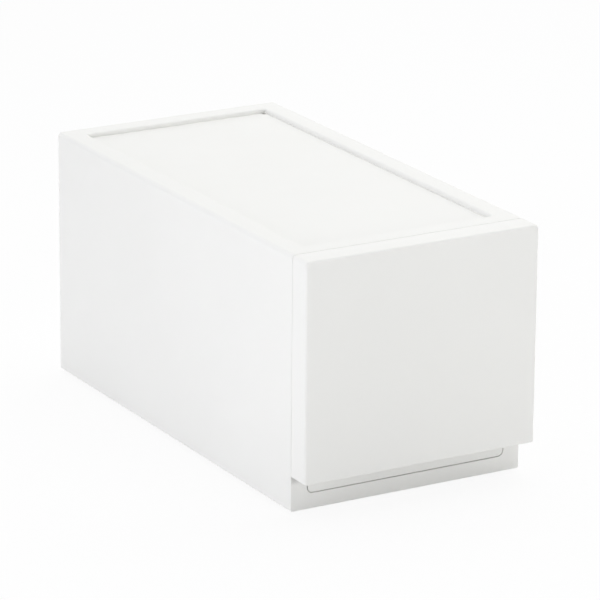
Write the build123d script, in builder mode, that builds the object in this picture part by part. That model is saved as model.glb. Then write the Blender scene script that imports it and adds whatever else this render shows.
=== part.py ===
from build123d import *
import os
from math import radians, tan

# A drawer box that stacks on others of its kind: a moulded case with a snap-in back, and a
# drawer made of a tray and a hollow front. All sizes are millimetres.
# +Z is up and the drawer opens towards -Y. The origin lies on the surface that the box stands
# on, under the middle of its length and width.

# ---- Whole box ----
case_width = 171.0
case_height = 170.5  # lower edge to top rim, and the pitch of a stack
case_depth = 324.2  # front plane to rear rim
front_depth = 17.5  # the drawer front's face to the back of its flanges
front_gap = 0.3  # the flanges of the drawer front to the case
foot_drop = 2.0  # how far the pads stand below the case's lower edge
drawer_travel = 240.0  # closed to the stop
long_edge_radius = 3.0  # upper corners of the case and of the drawer front

# ---- Case shell ----
case_wall = 2.5
frame_thickness = 2.5  # the inturned front frame
frame_side = 12.0  # width of the frame beside its mouth
frame_low = 10.3  # height of the frame under its mouth
frame_top = 12.0  # height of the frame over its mouth
mouth_radius = 4.0
base_edge_radius = 1.2
rear_edge_round = 1.0
edge_break = 0.25  # chamfer on the edges that meet across a gap
recess_depth = 3.0
recess_side_rim = 16.0
recess_end_rim = 14.0
recess_corner_radius = 1.5
recess_edge_round = 2.0
relief_radius = 1.7  # dimples that clear the corners of the feet above
relief_depth = 1.2
relief_inset = 1.5
skirt_depth = 3.0  # hollow under the floor
underside_rib = 2.0
underside_rib_rows = 7
underside_rib_columns = 3
underside_rib_set_back = 0.5
runner_spacing = 100.0
runner_width = 3.0
runner_edge_break = 0.25
guide_thickness = 2.0
guide_height = 11.0
guide_gap = 0.6
rail_thickness = 2.0  # the rail that keeps the tray's tail down
rail_tray_gap = 2.0
stop_rail_thickness = 2.5
stop_gap = 0.2

# ---- Feet ----
foot_size = 24.0
foot_radius = 4.0
foot_lip_drop = 1.2  # below the case's lower edge
nest_clearance = 0.8  # foot to the walls of the recess that it nests in
foot_rim = 2.0
pad_clearance = 0.2
pad_thickness = 2.5
pad_edge_break = 0.5

# ---- Drawer tray ----
mouth_gap = 0.6  # tray to the sides and the lower edge of the mouth
tray_top_gap = 3.0  # tray to the upper edge of the mouth
tray_wall = 2.0
tray_floor = 2.2
tray_plate = 2.5  # the flat front wall that fills the mouth
tray_rear_gap = 5.5  # tray to the ribs of the back panel
tray_corner_radius = 8.0
tray_draft = 1.0  # degrees
tray_outer_round = 3.0
tray_inner_round = 2.5
rim_width = 1.0
rim_height = 3.0
slide_clearance = 0.2
skid_width = 6.0
skid_height = 1.0
lug_length = 12.0
lug_height = 7.0
lug_gusset = 6.0
lug_side_gap = 3.0
lug_tail = 2.0
lug_rail_gap = 0.5

# ---- Drawer front ----
front_wall = 2.5
front_reveal = 23.0  # case's lower edge to the lower edge of the front
front_low_radius = 1.8  # lower corners of the drawer front
face_edge_round = 1.5
grip_height = 38.0
grip_cove = 6.0
lip_radius = 2.0
front_rib = 1.8
front_rib_spacing = 32.0
front_rib_count = 5
front_rib_relief = 5.0
cross_rib_depth = 10.0
hook_spacing = 80.0
hook_width = 10.0
hook_thickness = 2.0
hook_barb = 1.5
hook_tip = 3.0
hook_tip_thickness = 0.8
hook_over_grip = 12.0  # lower hooks above the ceiling of the grip
hook_under_rim = 18.5  # upper hooks below the tray's rim
hook_root = 1.0
catch_clearance = 0.1
window_clearance = 0.5

# ---- Back panel ----
back_inset = 1.0
back_thickness = 2.5
back_clearance = 0.3
back_corner_radius = 1.0
back_rib = 1.8
back_rib_height = 4.0
back_rib_margin = 22.0
finger_length = 10.5
finger_width = 12.0
finger_thickness = 1.8
finger_barb_length = 2.8
finger_tip_taper = 0.8
finger_over_floor = 37.5  # middle of the lower fingers above the case's floor
finger_under_rim = 32.0  # middle of the upper fingers below the tray's rim
ridge_height = 1.2
ridge_length = 2.0
ridge_clearance = 0.3

# ---- Places that follow from the sizes ----
face_y = -(case_depth + front_gap + front_depth) / 2
flange_y = face_y + front_depth
case_front_y = flange_y + front_gap
case_back_y = case_front_y + case_depth
frame_back_y = case_front_y + frame_thickness
case_bottom_z = foot_drop
case_top_z = case_bottom_z + case_height
inner_width = case_width - 2 * case_wall
underside_z = case_bottom_z + skirt_depth
floor_top_z = underside_z + case_wall
ceiling_z = case_top_z - recess_depth - case_wall
rim_ceiling_z = case_top_z - case_wall
mouth_width = case_width - 2 * frame_side
mouth_bottom_z = case_bottom_z + frame_low
mouth_top_z = case_top_z - frame_top

recess_width = case_width - 2 * recess_side_rim
recess_front_y = case_front_y + recess_end_rim
recess_back_y = case_back_y - recess_end_rim
recess_middle_y = (recess_front_y + recess_back_y) / 2
recess_length = recess_back_y - recess_front_y
recess_floor_z = case_top_z - recess_depth

back_outer_y = case_back_y - back_inset
back_inner_y = back_outer_y - back_thickness

tray_bottom_z = mouth_bottom_z + mouth_gap
tray_top_z = mouth_top_z - tray_top_gap
tray_under_z = tray_bottom_z + skid_height
tray_inside_z = tray_under_z + tray_floor
tray_back_y = back_inner_y - back_rib_height - tray_rear_gap
plate_width = mouth_width - 2 * mouth_gap
plate_back_y = case_front_y + tray_plate
tray_top_width = plate_width - 2 * rim_width
tray_wall_back_y = tray_back_y - rim_width
tray_lean = (tray_top_z - tray_under_z) * tan(radians(tray_draft))
runner_top_z = tray_bottom_z - slide_clearance

lug_back_y = tray_back_y - lug_tail
lug_front_y = lug_back_y - lug_length
stop_y = lug_front_y - drawer_travel - stop_gap
lug_outer_x = inner_width / 2 - lug_side_gap
lug_root_x = (tray_top_width - tray_wall) / 2
rail_inner_x = plate_width / 2 + rail_tray_gap
rail_reach = inner_width / 2 - rail_inner_x
rail_low_z = tray_top_z + lug_rail_gap
stop_rail_low_z = tray_top_z - (lug_height + stop_rail_thickness) / 2

front_bottom_z = case_bottom_z + front_reveal
panel_inner_y = face_y + front_wall
shell_inner_width = case_width - 2 * front_wall
shell_inner_top_z = case_top_z - front_wall
grip_ceiling_z = front_bottom_z + grip_height
hook_low_z = grip_ceiling_z + hook_over_grip
hook_high_z = tray_top_z - hook_under_rim
hook_places_x = (-hook_spacing / 2, hook_spacing / 2)
window_height = hook_thickness + hook_barb + 2 * window_clearance

finger_places_z = (floor_top_z + finger_over_floor, tray_top_z - finger_under_rim)

foot_x = recess_width / 2 - nest_clearance - foot_size / 2
foot_front_y = recess_front_y + nest_clearance + foot_size / 2
foot_rear_y = recess_back_y - nest_clearance - foot_size / 2
foot_lip_z = case_bottom_z - foot_lip_drop
pocket_size = foot_size - 2 * foot_rim
pad_size = pocket_size - 2 * pad_clearance


def at_depth(y):
    """The upright plane at this depth, seen from the front: its own X and Y are X and Z."""
    return Plane.XZ.offset(-y)


# ---- Case shell ----
with BuildPart() as case_shell:
    with BuildSketch(at_depth(case_front_y)) as outline:
        with Locations((0, case_bottom_z)):
            Rectangle(case_width, case_height, align=(Align.CENTER, Align.MIN))
        fillet(outline.vertices().group_by(Axis.Y)[-1], long_edge_radius)
        fillet(outline.vertices().group_by(Axis.Y)[0], base_edge_radius)
    extrude(amount=-case_depth)
    fillet(case_shell.faces().sort_by(Axis.Y)[-1].edges(), rear_edge_round)
    chamfer(case_shell.faces().sort_by(Axis.Y)[0].edges(), edge_break)

    # The hollow is open at the rear and steps up behind the side rims of the top
    with BuildSketch(at_depth(frame_back_y)):
        with Locations((0, floor_top_z)):
            Rectangle(inner_width, rim_ceiling_z - floor_top_z, align=(Align.CENTER, Align.MIN))
        with Locations((0, ceiling_z)):
            Rectangle(
                recess_width + 2 * case_wall,
                recess_depth + case_wall,
                align=(Align.CENTER, Align.MIN),
                mode=Mode.SUBTRACT,
            )
    extrude(amount=-(case_back_y - frame_back_y), mode=Mode.SUBTRACT)

    # The rear rim is cored out in the same way
    with BuildSketch(Plane.XY.offset(ceiling_z)):
        with Locations((0, recess_back_y + case_wall)):
            Rectangle(
                recess_width + 2 * case_wall,
                recess_end_rim - case_wall,
                align=(Align.CENTER, Align.MIN),
            )
    extrude(amount=recess_depth, mode=Mode.SUBTRACT)

    # Mouth in the front frame
    with BuildSketch(at_depth(case_front_y)):
        with Locations((0, (mouth_bottom_z + mouth_top_z) / 2)):
            RectangleRounded(mouth_width, mouth_top_z - mouth_bottom_z, mouth_radius)
    extrude(amount=-frame_thickness, mode=Mode.SUBTRACT)
    chamfer(case_shell.faces().sort_by(Axis.Y)[0].inner_wires()[0].edges(), edge_break)

    # Recess in the top that takes the feet of the box above, with a relief in each corner
    with BuildSketch(Plane.XY.offset(case_top_z)):
        with Locations((0, recess_middle_y)):
            RectangleRounded(recess_width, recess_length, recess_corner_radius)
    extrude(amount=-recess_depth, mode=Mode.SUBTRACT)
    rim_face = case_shell.faces().filter_by(Axis.Z).sort_by(Axis.Z)[-1]
    fillet(rim_face.inner_wires()[0].edges(), recess_edge_round)
    with BuildSketch(Plane.XY.offset(recess_floor_z)):
        with Locations((0, recess_middle_y)):
            with GridLocations(
                recess_width - 2 * relief_inset, recess_length - 2 * relief_inset, 2, 2
            ):
                Circle(relief_radius)
    extrude(amount=-relief_depth, mode=Mode.SUBTRACT)

    # Underside: a skirt all round, stiffening ribs and four feet with pockets for pads
    underside_width = case_width - 2 * case_wall
    underside_length = case_depth - 2 * case_wall
    underside_middle_y = (case_front_y + case_back_y) / 2
    with BuildSketch(Plane.XY.offset(case_bottom_z)):
        with Locations((0, underside_middle_y)):
            Rectangle(underside_width, underside_length)
    extrude(amount=skirt_depth, mode=Mode.SUBTRACT)
    with BuildSketch(Plane.XY.offset(underside_z)):
        with Locations((0, underside_middle_y)):
            with GridLocations(
                0, underside_length / (underside_rib_rows + 1), 1, underside_rib_rows
            ):
                Rectangle(underside_width, underside_rib)
            with GridLocations(
                underside_width / (underside_rib_columns + 1), 0, underside_rib_columns, 1
            ):
                Rectangle(underside_rib, underside_length)
    extrude(amount=-(skirt_depth - underside_rib_set_back))
    with BuildSketch(Plane.XY.offset(foot_lip_z)):
        with Locations(*[(x, y) for x in (-foot_x, foot_x) for y in (foot_front_y, foot_rear_y)]):
            RectangleRounded(foot_size, foot_size, foot_radius)
    extrude(amount=underside_z - foot_lip_z)
    with BuildSketch(Plane.XY.offset(foot_lip_z)):
        with Locations(*[(x, y) for x in (-foot_x, foot_x) for y in (foot_front_y, foot_rear_y)]):
            RectangleRounded(pocket_size, pocket_size, foot_radius - foot_rim)
    extrude(amount=pad_thickness - foot_lip_z, mode=Mode.SUBTRACT)

    # Runners under the tray's skids, and guides beside the tray's foot
    with BuildSketch(Plane.XY.offset(floor_top_z)):
        with Locations((0, frame_back_y)):
            with GridLocations(runner_spacing, 0, 2, 1):
                Rectangle(runner_width, back_inner_y - frame_back_y, align=(Align.CENTER, Align.MIN))
    extrude(amount=runner_top_z - floor_top_z)
    runner_edges = case_shell.edges(Select.LAST).filter_by(Axis.Y).group_by(Axis.Z)[-1]
    chamfer(runner_edges, runner_edge_break)
    guide_spacing = tray_top_width - 2 * tray_lean + 2 * guide_gap + guide_thickness
    with BuildSketch(Plane.XY.offset(floor_top_z)):
        with Locations((0, frame_back_y)):
            with GridLocations(guide_spacing, 0, 2, 1):
                Rectangle(
                    guide_thickness, back_inner_y - frame_back_y, align=(Align.CENTER, Align.MIN)
                )
    extrude(amount=guide_height)

    # Side rails: one over the tray's lugs for the whole depth, one in their way that stops them
    with BuildSketch(at_depth(frame_back_y)):
        with Locations((inner_width / 2, rail_low_z)):
            Rectangle(rail_reach, rail_thickness, align=(Align.MAX, Align.MIN))
        mirror(about=Plane.YZ)
    extrude(amount=-(back_inner_y - frame_back_y))
    with BuildSketch(at_depth(frame_back_y)):
        with Locations((inner_width / 2, stop_rail_low_z)):
            Rectangle(rail_reach, stop_rail_thickness, align=(Align.MAX, Align.MIN))
        mirror(about=Plane.YZ)
    extrude(amount=-(stop_y - frame_back_y))

    # Ridges that the fingers of the back panel snap over
    ridge_back_y = back_inner_y - finger_length + finger_barb_length + ridge_clearance + ridge_length
    for finger_z in finger_places_z:
        with BuildSketch(Plane.XY.offset(finger_z)):
            with BuildLine():
                Polyline(
                    (inner_width / 2, ridge_back_y - ridge_length),
                    (inner_width / 2 - ridge_height, ridge_back_y - ridge_length),
                    (inner_width / 2, ridge_back_y),
                    close=True,
                )
            make_face()
            mirror(about=Plane.YZ)
        extrude(amount=finger_width / 2, both=True)
case_shell.part.label = "case_shell"

# ---- Back panel ----
with BuildPart() as back_panel:
    with BuildSketch(at_depth(back_inner_y)) as plate:
        with Locations((0, floor_top_z + back_clearance)):
            Rectangle(
                inner_width - 2 * back_clearance,
                rim_ceiling_z - floor_top_z - 2 * back_clearance,
                align=(Align.CENTER, Align.MIN),
            )
        fillet(plate.vertices(), back_corner_radius)
    extrude(amount=-back_thickness)
    chamfer(back_panel.faces().sort_by(Axis.Y)[-1].edges(), edge_break)

    # Stiffening frame and cross on the inside
    rib_frame_width = inner_width - 2 * back_rib_margin
    rib_frame_height = rim_ceiling_z - floor_top_z - 2 * back_rib_margin
    with BuildSketch(at_depth(back_inner_y)):
        with Locations((0, (floor_top_z + rim_ceiling_z) / 2)):
            Rectangle(rib_frame_width, rib_frame_height)
            Rectangle(
                rib_frame_width - 2 * back_rib, rib_frame_height - 2 * back_rib, mode=Mode.SUBTRACT
            )
            Rectangle(back_rib, rib_frame_height)
            Rectangle(rib_frame_width, back_rib)
    extrude(amount=back_rib_height)

    # Snap fingers, whose barbs lie in front of the ridges in the case
    finger_outer_x = inner_width / 2 - ridge_height - ridge_clearance
    finger_inner_x = finger_outer_x - finger_thickness
    barb_outer_x = inner_width / 2 - ridge_clearance
    finger_tip_y = back_inner_y - finger_length
    for finger_z in finger_places_z:
        with BuildSketch(Plane.XY.offset(finger_z)):
            with BuildLine():
                Polyline(
                    (finger_inner_x, back_inner_y),
                    (finger_inner_x, finger_tip_y),
                    (finger_inner_x + finger_tip_taper, finger_tip_y),
                    (barb_outer_x, finger_tip_y + finger_barb_length),
                    (finger_outer_x, finger_tip_y + finger_barb_length),
                    (finger_outer_x, back_inner_y),
                    close=True,
                )
            make_face()
            mirror(about=Plane.YZ)
        extrude(amount=finger_width / 2, both=True)
back_panel.part.label = "back_panel"

# ---- Drawer tray ----
# The core that shapes the inside: upright in front, and narrowing downwards at the sides and
# the back
with BuildPart() as tray_core:
    with BuildSketch(Plane.XY.offset(tray_inside_z)):
        with Locations((0, plate_back_y)):
            Rectangle(
                tray_top_width - 2 * tray_wall,
                tray_wall_back_y - tray_wall - plate_back_y,
                align=(Align.CENTER, Align.MIN),
            )
    extrude(amount=tray_top_z - tray_inside_z)
    core_walls = tray_core.faces().filter_by(Axis.X) + tray_core.faces().sort_by(Axis.Y)[-1:]
    draft(core_walls, Plane.XY.offset(tray_top_z), -tray_draft)
    fillet(tray_core.edges().group_by(Axis.Z)[1], tray_corner_radius - tray_wall)
    fillet(tray_core.faces().sort_by(Axis.Z)[0].edges(), tray_inner_round)

with BuildPart() as drawer_tray:
    # Outer body, which narrows in the same way
    with BuildSketch(Plane.XY.offset(tray_under_z)):
        with Locations((0, case_front_y)):
            Rectangle(
                tray_top_width, tray_wall_back_y - case_front_y, align=(Align.CENTER, Align.MIN)
            )
    extrude(amount=tray_top_z - tray_under_z)
    tray_walls = drawer_tray.faces().filter_by(Axis.X) + drawer_tray.faces().sort_by(Axis.Y)[-1:]
    draft(tray_walls, Plane.XY.offset(tray_top_z), -tray_draft)
    fillet(drawer_tray.edges().group_by(Axis.Z)[1].sort_by(Axis.Y)[-2:], tray_corner_radius)
    fillet(drawer_tray.faces().sort_by(Axis.Z)[0].edges().sort_by(Axis.Y)[1:], tray_outer_round)

    # Rim, and the flat front wall that fills the mouth of the case
    with BuildSketch(Plane.XY.offset(tray_top_z)):
        with Locations((0, case_front_y)):
            RectangleRounded(
                plate_width,
                tray_back_y - case_front_y,
                tray_corner_radius + rim_width,
                align=(Align.CENTER, Align.MIN),
            )
    extrude(amount=-rim_height)
    with BuildSketch(at_depth(case_front_y)):
        with Locations((0, (tray_bottom_z + tray_top_z) / 2)):
            RectangleRounded(plate_width, tray_top_z - tray_bottom_z, mouth_radius - mouth_gap)
    extrude(amount=-tray_plate)
    add(tray_core.part, mode=Mode.SUBTRACT)

    # Skids that run on the case's runners
    skid_length = tray_wall_back_y - tray_lean - tray_corner_radius - plate_back_y
    with BuildSketch(Plane.XY.offset(tray_bottom_z)):
        with Locations((0, plate_back_y)):
            with GridLocations(runner_spacing, 0, 2, 1):
                Rectangle(skid_width, skid_length, align=(Align.CENTER, Align.MIN))
    extrude(amount=skid_height)

    # Lugs at the tail: they run under the case's rails and meet the stops
    with BuildSketch(at_depth(lug_front_y)):
        with BuildLine():
            Polyline(
                (lug_root_x, tray_top_z),
                (lug_outer_x, tray_top_z),
                (lug_outer_x, tray_top_z - lug_height),
                (lug_root_x, tray_top_z - lug_height - lug_gusset),
                close=True,
            )
        make_face()
        mirror(about=Plane.YZ)
    extrude(amount=-lug_length)

    # Windows for the hooks of the drawer front
    with BuildSketch(at_depth(case_front_y)):
        window_lift = (hook_thickness + hook_barb) / 2
        with Locations(
            *[(x, z + window_lift) for x in hook_places_x for z in (hook_low_z, hook_high_z)]
        ):
            Rectangle(hook_width + 2 * window_clearance, window_height)
    extrude(amount=-tray_plate, mode=Mode.SUBTRACT)
drawer_tray.part.label = "drawer_tray"

# ---- Drawer front ----
with BuildPart() as drawer_front:
    with BuildSketch(at_depth(face_y)) as face:
        with Locations((0, front_bottom_z)):
            Rectangle(case_width, case_top_z - front_bottom_z, align=(Align.CENTER, Align.MIN))
        fillet(face.vertices().group_by(Axis.Y)[-1], long_edge_radius)
        fillet(face.vertices().group_by(Axis.Y)[0], front_low_radius)
    extrude(amount=-front_depth)
    fillet(drawer_front.faces().sort_by(Axis.Y)[0].edges(), face_edge_round)
    chamfer(drawer_front.faces().sort_by(Axis.Y)[-1].edges(), edge_break)

    # Hollow, open behind and below
    with BuildSketch(at_depth(flange_y)):
        with Locations((0, shell_inner_top_z)):
            Rectangle(
                shell_inner_width,
                shell_inner_top_z - front_bottom_z + front_wall,
                align=(Align.CENTER, Align.MAX),
            )
    extrude(amount=front_depth - front_wall, mode=Mode.SUBTRACT)

    # Ceiling of the finger grip, coved into the face, and a rolled lip below
    with BuildSketch(Plane.YZ):
        with BuildLine():
            Polyline(
                (panel_inner_y, grip_ceiling_z + front_rib),
                (flange_y, grip_ceiling_z + front_rib),
                (flange_y, grip_ceiling_z),
                (panel_inner_y + grip_cove, grip_ceiling_z),
            )
            RadiusArc(
                (panel_inner_y + grip_cove, grip_ceiling_z),
                (panel_inner_y, grip_ceiling_z - grip_cove),
                -grip_cove,
            )
            Line((panel_inner_y, grip_ceiling_z - grip_cove), (panel_inner_y, grip_ceiling_z + front_rib))
        make_face()
        with Locations((panel_inner_y, front_bottom_z + lip_radius)):
            Circle(lip_radius)
    extrude(amount=shell_inner_width / 2, both=True)

    # Ribs behind the face, stepped out to seat on the tray's front wall
    rib_step_z = tray_top_z - front_rib_relief
    first_rib_x = -front_rib_spacing * (front_rib_count - 1) / 2
    for rib_number in range(front_rib_count):
        with BuildSketch(Plane.YZ.offset(first_rib_x + rib_number * front_rib_spacing)):
            with BuildLine():
                Polyline(
                    (panel_inner_y, grip_ceiling_z),
                    (case_front_y, grip_ceiling_z),
                    (case_front_y, rib_step_z),
                    (flange_y, rib_step_z),
                    (flange_y, shell_inner_top_z),
                    (panel_inner_y, shell_inner_top_z),
                    close=True,
                )
            make_face()
        extrude(amount=front_rib / 2, both=True)

    with BuildSketch(Plane.XY.offset((hook_low_z + hook_high_z) / 2)):
        with Locations((0, panel_inner_y)):
            Rectangle(shell_inner_width, cross_rib_depth, align=(Align.CENTER, Align.MIN))
    extrude(amount=front_rib / 2, both=True)

    # Snap hooks that reach through the windows of the tray
    catch_y = plate_back_y + catch_clearance
    for hook_x in hook_places_x:
        with BuildSketch(Plane.YZ.offset(hook_x)):
            with Locations((0, hook_low_z), (0, hook_high_z)):
                Polygon(
                    (panel_inner_y - hook_root, 0),
                    (catch_y + hook_tip, 0),
                    (catch_y + hook_tip, hook_tip_thickness),
                    (catch_y, hook_thickness + hook_barb),
                    (catch_y, hook_thickness),
                    (panel_inner_y - hook_root, hook_thickness),
                    align=None,
                )
        extrude(amount=hook_width / 2, both=True)
drawer_front.part.label = "drawer_front"

# ---- Anti-slip pads, one in the pocket of each foot ----
pad_places = {
    "foot_front_left": (-foot_x, foot_front_y),
    "foot_front_right": (foot_x, foot_front_y),
    "foot_rear_left": (-foot_x, foot_rear_y),
    "foot_rear_right": (foot_x, foot_rear_y),
}
pads = []
for pad_name, (pad_x, pad_y) in pad_places.items():
    with BuildPart() as foot_pad:
        with BuildSketch(Plane((pad_x, pad_y, 0))):
            RectangleRounded(pad_size, pad_size, foot_radius - foot_rim - pad_clearance)
        extrude(amount=pad_thickness)
        chamfer(foot_pad.faces().sort_by(Axis.Z)[0].edges(), pad_edge_break)
    foot_pad.part.label = pad_name
    pads.append(foot_pad.part)

# ---- One file for each piece ----
os.makedirs("parts", exist_ok=True)
pieces = [case_shell.part, back_panel.part, drawer_tray.part, drawer_front.part] + pads
for piece in pieces:
    export_step(piece, f"parts/{piece.label}.step")
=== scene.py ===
from math import cos, radians, sin

import bpy
from mathutils import Matrix, Vector


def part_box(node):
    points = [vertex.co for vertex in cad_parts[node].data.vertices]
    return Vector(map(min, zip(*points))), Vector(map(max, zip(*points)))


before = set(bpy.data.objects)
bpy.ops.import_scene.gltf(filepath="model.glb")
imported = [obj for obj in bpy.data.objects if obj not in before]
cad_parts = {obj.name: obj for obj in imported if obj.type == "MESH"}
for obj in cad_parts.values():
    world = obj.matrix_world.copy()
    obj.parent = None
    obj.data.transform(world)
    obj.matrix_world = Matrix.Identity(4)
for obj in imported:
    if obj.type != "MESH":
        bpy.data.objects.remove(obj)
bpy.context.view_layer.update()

# The looks of a white moulded drawer box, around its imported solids. Sizes are metres, in the
# frame of the solids: +Z up, the drawer opens towards -Y.

SCENE = bpy.context.scene

# ---- The photograph's camera, solved from the box's corners in its 600 by 600 pixels ----
PHOTO_PIXELS = 600
FOCAL_PIXELS = 4175.5
AZIMUTH = radians(-29.95)
ELEVATION = radians(17.815)
ROLL = radians(0.417)
CAMERA_DISTANCE = 2.7937  # from the middle of the case
CAMERA_RIGHT = 0.0118  # to the right of the middle of the case, as it is seen
CAMERA_UP = -0.0022
SENSOR_WIDTH = 36.0

# ---- Light: a white tent that is dark in front, where low softboxes light the box instead ----
TENT_LEVEL = 1.05
TENT_FRONT_LEVEL = 0.05
TENT_DARK_FROM = -0.4  # the part of a direction that points along Y
TENT_FULL_FROM = -0.05
TENT_LEFT_COLOUR = (0.95, 0.955, 1.0)
TENT_RIGHT_COLOUR = (0.97, 0.97, 0.95)
SOFTBOX_AIM = (0.0, 0.0, 0.09)
OVERHEAD_PLACE = (0.6, 0.25, 1.5)
OVERHEAD_SIZE = (1.4, 1.4)
OVERHEAD_POWER = 9.8
LEFT_PLACE = (-1.3, -0.5, 0.3)
LEFT_SIZE = (0.8, 0.5)
LEFT_POWER = 5.5
LEFT_COLOUR = (0.965, 0.965, 1.0)
FRONT_PLACE = (0.55, -1.7, 0.38)
FRONT_SIZE = (1.0, 0.25)
FRONT_POWER = 10.3
WHITE = (1.0, 1.0, 1.0)

# ---- Floor ----
FLOOR_HALF = 6.0
FLOOR_Z = -0.0001  # a hair under the pads, so that their faces aren't in one plane
FLOOR_COLOUR = (0.86, 0.86, 0.86)
FLOOR_WHITENESS = 0.92  # the share of plain white that the camera sees in it

# ---- Noise: nearly all values of a noise texture lie between these ----
NOISE_LOW = 0.3
NOISE_HIGH = 0.7


# ---------------------------------------------------------------- node helpers
def new_material(name):
    """A material with an empty node tree, and its output node."""
    material = bpy.data.materials.new(name)
    material.use_nodes = True
    nodes = material.node_tree.nodes
    nodes.clear()
    output = nodes.new("ShaderNodeOutputMaterial")
    return material, nodes, material.node_tree.links, output


def noise(nodes, links, coordinates, scale, detail=2.0, roughness=0.5):
    texture = nodes.new("ShaderNodeTexNoise")
    texture.inputs["Scale"].default_value = scale
    texture.inputs["Detail"].default_value = detail
    texture.inputs["Roughness"].default_value = roughness
    links.new(coordinates, texture.inputs["Vector"])
    return texture.outputs["Fac"]


def spread(nodes, links, value, low, high):
    """The range of a noise, spread from low to high."""
    ramp = nodes.new("ShaderNodeMapRange")
    ramp.inputs["From Min"].default_value = NOISE_LOW
    ramp.inputs["From Max"].default_value = NOISE_HIGH
    ramp.inputs["To Min"].default_value = low
    ramp.inputs["To Max"].default_value = high
    links.new(value, ramp.inputs["Value"])
    return ramp.outputs["Result"]


def blend_colours(nodes, links, value, first, second):
    """The first colour where the value is 0, the second where it is 1."""
    mix = nodes.new("ShaderNodeMix")
    mix.data_type = "RGBA"
    mix.inputs["A"].default_value = (*first, 1.0)
    mix.inputs["B"].default_value = (*second, 1.0)
    links.new(value, mix.inputs["Factor"])
    return mix.outputs["Result"]


def bump(nodes, links, height, distance, strength, normal=None):
    node = nodes.new("ShaderNodeBump")
    node.inputs["Distance"].default_value = distance
    node.inputs["Strength"].default_value = strength
    links.new(height, node.inputs["Height"])
    if normal is not None:
        links.new(normal, node.inputs["Normal"])
    return node.outputs["Normal"]


# ---------------------------------------------------------------- materials
def moulded_plastic(name, light_tone, dark_tone, roughness, grain_distance, wave_distance):
    """Satin moulded plastic: a spark-eroded grain, a slight wave in the walls and a faint
    unevenness of tone and gloss."""
    material, nodes, links, output = new_material(name)
    place = nodes.new("ShaderNodeTexCoord").outputs["Object"]
    shader = nodes.new("ShaderNodeBsdfPrincipled")
    shader.inputs["IOR"].default_value = 1.49
    shader.inputs["Specular IOR Level"].default_value = 0.4
    shader.inputs["Subsurface Weight"].default_value = 0.06
    shader.inputs["Subsurface Radius"].default_value = (1.0, 0.96, 0.9)
    shader.inputs["Subsurface Scale"].default_value = 0.002

    cloud = noise(nodes, links, place, scale=9.0, detail=3.0)
    tone = spread(nodes, links, cloud, low=0.0, high=1.0)
    links.new(blend_colours(nodes, links, tone, dark_tone, light_tone), shader.inputs["Base Color"])

    handling = noise(nodes, links, place, scale=55.0, detail=5.0, roughness=0.6)
    gloss = spread(nodes, links, handling, low=roughness - 0.04, high=roughness + 0.05)
    links.new(gloss, shader.inputs["Roughness"])

    grain = noise(nodes, links, place, scale=2600.0, detail=2.0)
    wave = noise(nodes, links, place, scale=14.0, detail=1.0)
    waved = bump(nodes, links, wave, distance=wave_distance, strength=0.5)
    grained = bump(nodes, links, grain, distance=grain_distance, strength=0.35, normal=waved)
    links.new(grained, shader.inputs["Normal"])
    links.new(shader.outputs["BSDF"], output.inputs["Surface"])
    return material


def soft_pad(name):
    """Cloudy elastomer of the anti-slip pads."""
    material, nodes, links, output = new_material(name)
    place = nodes.new("ShaderNodeTexCoord").outputs["Object"]
    shader = nodes.new("ShaderNodeBsdfPrincipled")
    shader.inputs["IOR"].default_value = 1.45
    shader.inputs["Subsurface Weight"].default_value = 0.35
    shader.inputs["Subsurface Radius"].default_value = (1.0, 1.0, 0.95)
    shader.inputs["Subsurface Scale"].default_value = 0.003

    cloud = noise(nodes, links, place, scale=260.0, detail=4.0)
    tone = spread(nodes, links, cloud, low=0.0, high=1.0)
    colour = blend_colours(nodes, links, tone, (0.58, 0.58, 0.56), (0.68, 0.68, 0.66))
    links.new(colour, shader.inputs["Base Color"])

    handling = noise(nodes, links, place, scale=600.0)
    gloss = spread(nodes, links, handling, low=0.42, high=0.6)
    links.new(gloss, shader.inputs["Roughness"])

    pebble = noise(nodes, links, place, scale=1500.0, detail=3.0)
    pebbled = bump(nodes, links, pebble, distance=0.00008, strength=0.6)
    links.new(pebbled, shader.inputs["Normal"])
    links.new(shader.outputs["BSDF"], output.inputs["Surface"])
    return material


def seen_directly(nodes, links):
    """1 for rays that show the background: from the camera, by reflection or through glass."""
    path = nodes.new("ShaderNodeLightPath")
    total = path.outputs["Is Camera Ray"]
    for kind in ("Is Glossy Ray", "Is Transmission Ray"):
        add = nodes.new("ShaderNodeMath")
        add.operation = "MAXIMUM"
        links.new(total, add.inputs[0])
        links.new(path.outputs[kind], add.inputs[1])
        total = add.outputs[0]
    return total


def floor_material():
    """Pale floor that looks white and keeps the soft shadow. From below it isn't seen."""
    material, nodes, links, output = new_material("pale_floor")
    diffuse = nodes.new("ShaderNodeBsdfDiffuse")
    diffuse.inputs["Color"].default_value = (*FLOOR_COLOUR, 1.0)
    white = nodes.new("ShaderNodeEmission")
    white.inputs["Strength"].default_value = 1.0
    share = nodes.new("ShaderNodeMath")
    share.operation = "MULTIPLY"
    share.inputs[1].default_value = FLOOR_WHITENESS
    links.new(seen_directly(nodes, links), share.inputs[0])

    top = nodes.new("ShaderNodeMixShader")
    links.new(share.outputs[0], top.inputs[0])
    links.new(diffuse.outputs[0], top.inputs[1])
    links.new(white.outputs[0], top.inputs[2])
    both = nodes.new("ShaderNodeMixShader")
    links.new(nodes.new("ShaderNodeNewGeometry").outputs["Backfacing"], both.inputs[0])
    links.new(top.outputs[0], both.inputs[1])
    links.new(nodes.new("ShaderNodeBsdfTransparent").outputs[0], both.inputs[2])
    links.new(both.outputs[0], output.inputs["Surface"])
    return material


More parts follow.
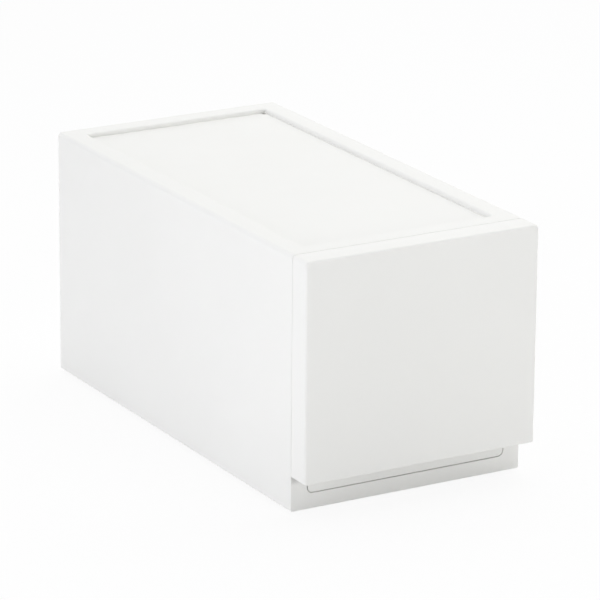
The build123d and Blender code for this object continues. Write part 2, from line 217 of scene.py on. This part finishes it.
# ---------------------------------------------------------------- stage
def add_floor():
    mesh = bpy.data.meshes.new("floor")
    half = FLOOR_HALF
    corners = [(-half, -half), (half, -half), (half, half), (-half, half)]
    mesh.from_pydata([(x, y, FLOOR_Z) for x, y in corners], [], [(0, 1, 2, 3)])
    floor = bpy.data.objects.new("floor", mesh)
    SCENE.collection.objects.link(floor)
    mesh.materials.append(floor_material())


def set_world():
    """White where it is seen. As light it is a tent, cool on the left and dark in front."""
    world = bpy.data.worlds.new("studio")
    world.use_nodes = True
    SCENE.world = world
    nodes, links = world.node_tree.nodes, world.node_tree.links
    background = nodes["Background"]
    direction = nodes.new("ShaderNodeSeparateXYZ")
    links.new(nodes.new("ShaderNodeTexCoord").outputs["Generated"], direction.inputs[0])

    across = nodes.new("ShaderNodeMapRange")
    across.inputs["From Min"].default_value = -1.0
    links.new(direction.outputs["X"], across.inputs["Value"])
    tint = blend_colours(nodes, links, across.outputs[0], TENT_LEFT_COLOUR, TENT_RIGHT_COLOUR)

    level = nodes.new("ShaderNodeMapRange")
    level.inputs["From Min"].default_value = TENT_DARK_FROM
    level.inputs["From Max"].default_value = TENT_FULL_FROM
    level.inputs["To Min"].default_value = TENT_FRONT_LEVEL
    level.inputs["To Max"].default_value = TENT_LEVEL
    links.new(direction.outputs["Y"], level.inputs["Value"])

    seen = seen_directly(nodes, links)
    colour = nodes.new("ShaderNodeMix")
    colour.data_type = "RGBA"
    colour.inputs["B"].default_value = (*WHITE, 1.0)
    links.new(tint, colour.inputs["A"])
    links.new(seen, colour.inputs["Factor"])
    links.new(colour.outputs["Result"], background.inputs["Color"])
    strength = nodes.new("ShaderNodeMix")
    strength.inputs["B"].default_value = 1.0
    links.new(level.outputs[0], strength.inputs["A"])
    links.new(seen, strength.inputs["Factor"])
    links.new(strength.outputs["Result"], background.inputs["Strength"])


def add_softbox(name, place, size, power, colour=WHITE):
    """A soft lamp of this width and height, turned to the box."""
    light = bpy.data.lights.new(name, "AREA")
    light.shape = "RECTANGLE"
    light.size, light.size_y = size
    light.energy = power
    light.color = colour
    lamp = bpy.data.objects.new(name, light)
    SCENE.collection.objects.link(lamp)
    lamp.location = place
    lamp.rotation_mode = "QUATERNION"
    lamp.rotation_quaternion = (Vector(SOFTBOX_AIM) - Vector(place)).to_track_quat("-Z", "Y")


def add_camera():
    """The photograph's camera. Its place is given from the middle of the case."""
    back = Vector((sin(AZIMUTH) * cos(ELEVATION), -cos(AZIMUTH) * cos(ELEVATION), sin(ELEVATION)))
    level_right = Vector((0, 0, 1)).cross(back).normalized()
    level_up = back.cross(level_right)
    right = level_right * cos(ROLL) + level_up * sin(ROLL)
    up = level_up * cos(ROLL) - level_right * sin(ROLL)
    case_low, case_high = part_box("case_shell")
    middle = (case_low + case_high) / 2
    place = middle + back * CAMERA_DISTANCE + right * CAMERA_RIGHT + up * CAMERA_UP
    data = bpy.data.cameras.new("photo_camera")
    data.sensor_width = SENSOR_WIDTH
    data.lens = FOCAL_PIXELS / PHOTO_PIXELS * SENSOR_WIDTH
    camera = bpy.data.objects.new("photo_camera", data)
    SCENE.collection.objects.link(camera)
    turn = Matrix((right, up, back)).transposed()
    camera.matrix_world = Matrix.Translation(place) @ turn.to_4x4()
    SCENE.camera = camera


def dress(nodes, material):
    """Gives the solids of these nodes this one material."""
    for name in nodes:
        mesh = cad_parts[name].data
        mesh.materials.clear()
        mesh.materials.append(material)


# ---------------------------------------------------------------- the object
case_plastic = moulded_plastic(
    "case_plastic",
    light_tone=(0.872, 0.872, 0.846),
    dark_tone=(0.858, 0.858, 0.832),
    roughness=0.42,
    grain_distance=0.00005,
    wave_distance=0.0004,
)
front_plastic = moulded_plastic(
    "front_plastic",
    light_tone=(0.872, 0.872, 0.846),
    dark_tone=(0.86, 0.86, 0.835),
    roughness=0.42,
    grain_distance=0.00005,
    wave_distance=0.0004,
)
tray_plastic = moulded_plastic(
    "drawer_plastic",
    light_tone=(0.866, 0.866, 0.84),
    dark_tone=(0.85, 0.85, 0.824),
    roughness=0.46,
    grain_distance=0.00006,
    wave_distance=0.0005,
)
dress(("case_shell", "back_panel"), case_plastic)
dress(("drawer_front",), front_plastic)
dress(("drawer_tray",), tray_plastic)
dress([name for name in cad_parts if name.startswith("foot_")], soft_pad("pad_rubber"))

# ---------------------------------------------------------------- the photograph's studio
add_floor()
set_world()
add_softbox("overhead_softbox", OVERHEAD_PLACE, OVERHEAD_SIZE, OVERHEAD_POWER)
add_softbox("left_softbox", LEFT_PLACE, LEFT_SIZE, LEFT_POWER, LEFT_COLOUR)
add_softbox("front_softbox", FRONT_PLACE, FRONT_SIZE, FRONT_POWER)
add_camera()
SCENE.view_settings.view_transform = "Standard"
